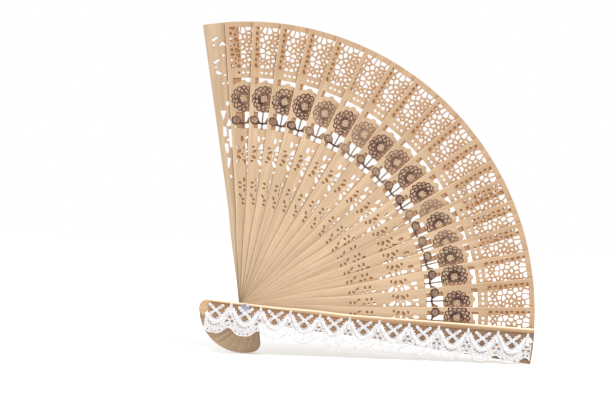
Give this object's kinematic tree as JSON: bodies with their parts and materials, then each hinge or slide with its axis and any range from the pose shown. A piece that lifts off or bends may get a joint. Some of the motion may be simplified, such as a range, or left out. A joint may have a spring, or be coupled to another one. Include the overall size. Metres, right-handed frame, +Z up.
{
  "type": "folding fan",
  "caption": "Open wooden folding fan: flat pierced blades spread on one rivet between two thicker guards, with white scalloped lace along the front guard.",
  "frame": {"origin": "on the rivet's axis, half way through the stack of blades", "axes": "+Z up, +Y along the rivet towards the back of the fan, +X to the right as seen from the front"},
  "size_m": [0.2351, 0.0228, 0.2303],
  "materials": {
    "stick_wood": "sanded, unvarnished",
    "guard_wood": "sanded, unvarnished",
    "lace_cotton": "white cotton lace",
    "rivet_steel": "bright"
  },
  "bodies": {
    "front_guard": {"front_guard": "guard_wood", "lace_trim": "lace_cotton", "rivet": "rivet_steel", "rivet_washer": "rivet_steel"},
    "back_guard": {"back_guard": "guard_wood"},
    "stick_01": {"stick_01": "stick_wood"},
    "stick_02": {"stick_02": "stick_wood"},
    "stick_03": {"stick_03": "stick_wood"},
    "stick_04": {"stick_04": "stick_wood"},
    "stick_05": {"stick_05": "stick_wood"},
    "stick_06": {"stick_06": "stick_wood"},
    "stick_07": {"stick_07": "stick_wood"},
    "stick_08": {"stick_08": "stick_wood"},
    "stick_09": {"stick_09": "stick_wood"},
    "stick_10": {"stick_10": "stick_wood"},
    "stick_11": {"stick_11": "stick_wood"},
    "stick_12": {"stick_12": "stick_wood"},
    "stick_13": {"stick_13": "stick_wood"},
    "stick_14": {"stick_14": "stick_wood"},
    "stick_15": {"stick_15": "stick_wood"},
    "stick_16": {"stick_16": "stick_wood"},
    "stick_17": {"stick_17": "stick_wood"},
    "stick_18": {"stick_18": "stick_wood"}
  },
  "joints": [
    {"name": "back_guard_spread", "type": "hinge", "parent": "front_guard", "child": "back_guard", "pos_m": [0, 0, 0], "axis": [0, -1, 0], "range_deg": [-102.3, 14.7]},
    {"name": "stick_01_spread", "type": "hinge", "parent": "front_guard", "child": "stick_01", "pos_m": [0, 0, 0], "axis": [0, -1, 0], "range_deg": [-97.91, 14.08]},
    {"name": "stick_02_spread", "type": "hinge", "parent": "front_guard", "child": "stick_02", "pos_m": [0, 0, 0], "axis": [0, -1, 0], "range_deg": [-92.31, 13.27]},
    {"name": "stick_03_spread", "type": "hinge", "parent": "front_guard", "child": "stick_03", "pos_m": [0, 0, 0], "axis": [0, -1, 0], "range_deg": [-86.61, 12.45]},
    {"name": "stick_04_spread", "type": "hinge", "parent": "front_guard", "child": "stick_04", "pos_m": [0, 0, 0], "axis": [0, -1, 0], "range_deg": [-80.91, 11.63]},
    {"name": "stick_05_spread", "type": "hinge", "parent": "front_guard", "child": "stick_05", "pos_m": [0, 0, 0], "axis": [0, -1, 0], "range_deg": [-75.11, 10.8]},
    {"name": "stick_06_spread", "type": "hinge", "parent": "front_guard", "child": "stick_06", "pos_m": [0, 0, 0], "axis": [0, -1, 0], "range_deg": [-68.91, 9.91]},
    {"name": "stick_07_spread", "type": "hinge", "parent": "front_guard", "child": "stick_07", "pos_m": [0, 0, 0], "axis": [0, -1, 0], "range_deg": [-63.01, 9.06]},
    {"name": "stick_08_spread", "type": "hinge", "parent": "front_guard", "child": "stick_08", "pos_m": [0, 0, 0], "axis": [0, -1, 0], "range_deg": [-57.31, 8.24]},
    {"name": "stick_09_spread", "type": "hinge", "parent": "front_guard", "child": "stick_09", "pos_m": [0, 0, 0], "axis": [0, -1, 0], "range_deg": [-51.31, 7.38]},
    {"name": "stick_10_spread", "type": "hinge", "parent": "front_guard", "child": "stick_10", "pos_m": [0, 0, 0], "axis": [0, -1, 0], "range_deg": [-45.61, 6.56]},
    {"name": "stick_11_spread", "type": "hinge", "parent": "front_guard", "child": "stick_11", "pos_m": [0, 0, 0], "axis": [0, -1, 0], "range_deg": [-40.31, 5.8]},
    {"name": "stick_12_spread", "type": "hinge", "parent": "front_guard", "child": "stick_12", "pos_m": [0, 0, 0], "axis": [0, -1, 0], "range_deg": [-34.91, 5.03]},
    {"name": "stick_13_spread", "type": "hinge", "parent": "front_guard", "child": "stick_13", "pos_m": [0, 0, 0], "axis": [0, -1, 0], "range_deg": [-30.91, 4.45]},
    {"name": "stick_14_spread", "type": "hinge", "parent": "front_guard", "child": "stick_14", "pos_m": [0, 0, 0], "axis": [0, -1, 0], "range_deg": [-26.01, 3.75]},
    {"name": "stick_15_spread", "type": "hinge", "parent": "front_guard", "child": "stick_15", "pos_m": [0, 0, 0], "axis": [0, -1, 0], "range_deg": [-21.21, 3.06]},
    {"name": "stick_16_spread", "type": "hinge", "parent": "front_guard", "child": "stick_16", "pos_m": [0, 0, 0], "axis": [0, -1, 0], "range_deg": [-15.51, 2.24]},
    {"name": "stick_17_spread", "type": "hinge", "parent": "front_guard", "child": "stick_17", "pos_m": [0, 0, 0], "axis": [0, -1, 0], "range_deg": [-10.01, 1.45]},
    {"name": "stick_18_spread", "type": "hinge", "parent": "front_guard", "child": "stick_18", "pos_m": [0, 0, 0], "axis": [0, -1, 0], "range_deg": [-4.21, 0.61]}
  ],
  "couplings": [
    {"joint": "stick_01_spread", "follows": "back_guard_spread", "ratio": 0.95699},
    {"joint": "stick_02_spread", "follows": "back_guard_spread", "ratio": 0.90225},
    {"joint": "stick_03_spread", "follows": "back_guard_spread", "ratio": 0.84653},
    {"joint": "stick_04_spread", "follows": "back_guard_spread", "ratio": 0.79081},
    {"joint": "stick_05_spread", "follows": "back_guard_spread", "ratio": 0.73411},
    {"joint": "stick_06_spread", "follows": "back_guard_spread", "ratio": 0.67351},
    {"joint": "stick_07_spread", "follows": "back_guard_spread", "ratio": 0.61584},
    {"joint": "stick_08_spread", "follows": "back_guard_spread", "ratio": 0.56012},
    {"joint": "stick_09_spread", "follows": "back_guard_spread", "ratio": 0.50147},
    {"joint": "stick_10_spread", "follows": "back_guard_spread", "ratio": 0.44575},
    {"joint": "stick_11_spread", "follows": "back_guard_spread", "ratio": 0.39394},
    {"joint": "stick_12_spread", "follows": "back_guard_spread", "ratio": 0.34115},
    {"joint": "stick_13_spread", "follows": "back_guard_spread", "ratio": 0.30205},
    {"joint": "stick_14_spread", "follows": "back_guard_spread", "ratio": 0.25415},
    {"joint": "stick_15_spread", "follows": "back_guard_spread", "ratio": 0.20723},
    {"joint": "stick_16_spread", "follows": "back_guard_spread", "ratio": 0.15152},
    {"joint": "stick_17_spread", "follows": "back_guard_spread", "ratio": 0.097752},
    {"joint": "stick_18_spread", "follows": "back_guard_spread", "ratio": 0.041056}
  ]
}
